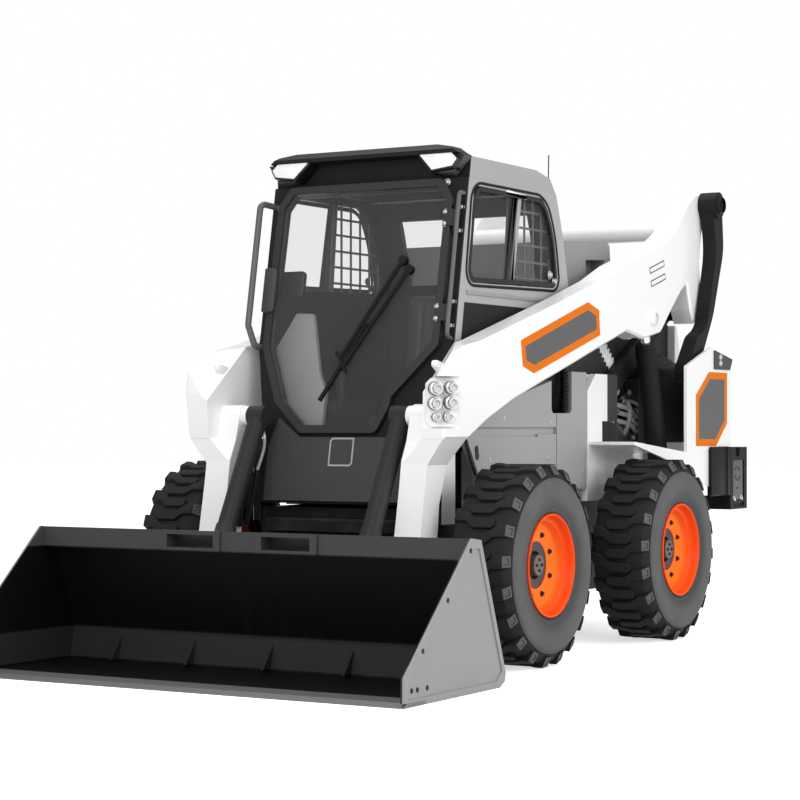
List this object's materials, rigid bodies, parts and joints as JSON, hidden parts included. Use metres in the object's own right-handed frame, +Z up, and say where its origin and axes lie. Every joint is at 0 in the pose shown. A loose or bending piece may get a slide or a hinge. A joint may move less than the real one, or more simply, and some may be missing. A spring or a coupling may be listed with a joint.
{
  "type": "skid steer loader",
  "caption": "Compact wheeled loader with an enclosed cab, vertical-path lift arms, a quick coupler and a digging bucket.",
  "frame": {"origin": "on the ground under the middle of the machine's box", "axes": "+X forwards, +Y to the machine's left, +Z up"},
  "size_m": [3.936, 2.054, 2.186],
  "materials": {
    "white_paint": "gloss machine enamel",
    "grey_paint": "satin machine enamel",
    "dark_paint": "satin black enamel",
    "orange_paint": "gloss wheel enamel",
    "bucket_steel": "dark painted plate",
    "edge_steel": "hardened plate",
    "tyre_rubber": "moulded rubber",
    "cab_plastic": "grained moulding",
    "lamp_plastic": "lamp housing",
    "window_glass": "tinted toughened glass",
    "seat_vinyl": "vinyl",
    "iron": "cast engine metal",
    "chrome_rod": "hard chrome"
  },
  "bodies": {
    "frame": {"axle_tubes": "dark_paint", "cab_roof": "cab_plastic", "cab_shell": "grey_paint", "chassis": "white_paint", "controls": "cab_plastic", "door_hinges": "dark_paint", "engine_block": "iron", "engine_fittings": "iron", "engine_hood": "grey_paint", "front_apron": "dark_paint", "front_panel": "cab_plastic", "grab_handles": "dark_paint", "rear_bumper": "dark_paint", "rear_window": "window_glass", "roof_lights": "lamp_plastic", "seat": "seat_vinyl", "side_frames": "white_paint", "side_panels": "grey_paint", "side_windows": "window_glass", "tail_lamps": "lamp_plastic", "window_guards": "dark_paint"},
    "wheel_front_left": {"tyre_front_left": "tyre_rubber", "rim_front_left": "orange_paint"},
    "wheel_front_right": {"tyre_front_right": "tyre_rubber", "rim_front_right": "orange_paint"},
    "wheel_rear_left": {"tyre_rear_left": "tyre_rubber", "rim_rear_left": "orange_paint"},
    "wheel_rear_right": {"tyre_rear_right": "tyre_rubber", "rim_rear_right": "orange_paint"},
    "cab_door": {"door_frame": "cab_plastic", "door_glass": "window_glass", "wiper": "dark_paint"},
    "rear_gate": {"tailgate": "white_paint"},
    "rear_links": {"rear_links": "dark_paint"},
    "arms": {"lift_arm": "white_paint", "auxiliary_block": "edge_steel"},
    "control_links": {"control_links": "dark_paint"},
    "lift_barrels": {"lift_cylinder_barrels": "dark_paint"},
    "lift_rods": {"lift_cylinder_rods": "chrome_rod"},
    "tilt_barrels": {"tilt_cylinder_barrels": "dark_paint"},
    "tilt_rods": {"tilt_cylinder_rods": "chrome_rod"},
    "bucket_and_coupler": {"quick_coupler": "dark_paint", "bucket": "bucket_steel", "cutting_edge": "edge_steel"}
  },
  "joints": [
    {"name": "roll_front_left", "type": "hinge", "parent": "frame", "child": "wheel_front_left", "pos_m": [0.55, 0.765, 0.418], "axis": [0, 1, 0], "continuous": true},
    {"name": "roll_front_right", "type": "hinge", "parent": "frame", "child": "wheel_front_right", "pos_m": [0.55, -0.765, 0.418], "axis": [0, 1, 0], "continuous": true},
    {"name": "roll_rear_left", "type": "hinge", "parent": "frame", "child": "wheel_rear_left", "pos_m": [-0.78, 0.765, 0.418], "axis": [0, 1, 0], "continuous": true},
    {"name": "roll_rear_right", "type": "hinge", "parent": "frame", "child": "wheel_rear_right", "pos_m": [-0.78, -0.765, 0.418], "axis": [0, 1, 0], "continuous": true},
    {"name": "cab_door", "type": "hinge", "parent": "frame", "child": "cab_door", "pos_m": [0.62415, 0.452, 1.50392], "axis": [-0.1781, 0, 0.984], "range_deg": [0, 90]},
    {"name": "rear_gate", "type": "hinge", "parent": "frame", "child": "rear_gate", "pos_m": [-1.79, -0.478, 1.1], "axis": [0, 0, 1], "range_deg": [0, 100]},
    {"name": "lift", "type": "hinge", "parent": "frame", "child": "rear_links", "pos_m": [-1.387, 0, 1.253], "axis": [0, -1, 0], "range_deg": [0, 39.8]},
    {"name": "arm_swing", "type": "hinge", "parent": "rear_links", "child": "arms", "pos_m": [-1.69, 0, 2.092], "axis": [0, -1, 0], "range_deg": [0, 22.7]},
    {"name": "control_link_swing", "type": "hinge", "parent": "frame", "child": "control_links", "pos_m": [-0.842, 0, 1.117], "axis": [0, -1, 0], "range_deg": [0, 3.51]},
    {"name": "lift_barrel_swing", "type": "hinge", "parent": "frame", "child": "lift_barrels", "pos_m": [-1.29, 0, 0.72], "axis": [0, -1, 0], "range_deg": [0, 16.19]},
    {"name": "lift_rod_slide", "type": "slide", "parent": "lift_barrels", "child": "lift_rods", "axis": [0.26, 0, 0.9656], "range_m": [0, 0.4525]},
    {"name": "bucket_tilt", "type": "hinge", "parent": "arms", "child": "bucket_and_coupler", "pos_m": [1.13, 0, 0.19], "axis": [0, 1, 0], "range_deg": [-27, 104]},
    {"name": "tilt_barrel_swing", "type": "hinge", "parent": "arms", "child": "tilt_barrels", "pos_m": [0.83, 0, 1.03], "axis": [0, -1, 0], "range_deg": [-0.3, 1]},
    {"name": "tilt_rod_slide", "type": "slide", "parent": "tilt_barrels", "child": "tilt_rods", "axis": [0.4601, 0, -0.8879], "range_m": [-0.0605, 0.231]}
  ],
  "couplings": [
    {"joint": "arm_swing", "follows": "lift", "ratio": 0.57035},
    {"joint": "control_link_swing", "follows": "lift", "ratio": 0.08794},
    {"joint": "lift_barrel_swing", "follows": "lift", "ratio": 0.40637},
    {"joint": "lift_rod_slide", "follows": "lift", "m_per_rad": 0.65078},
    {"joint": "tilt_barrel_swing", "follows": "bucket_tilt", "ratio": 0.0086},
    {"joint": "tilt_rod_slide", "follows": "bucket_tilt", "m_per_rad": 0.12688}
  ]
}
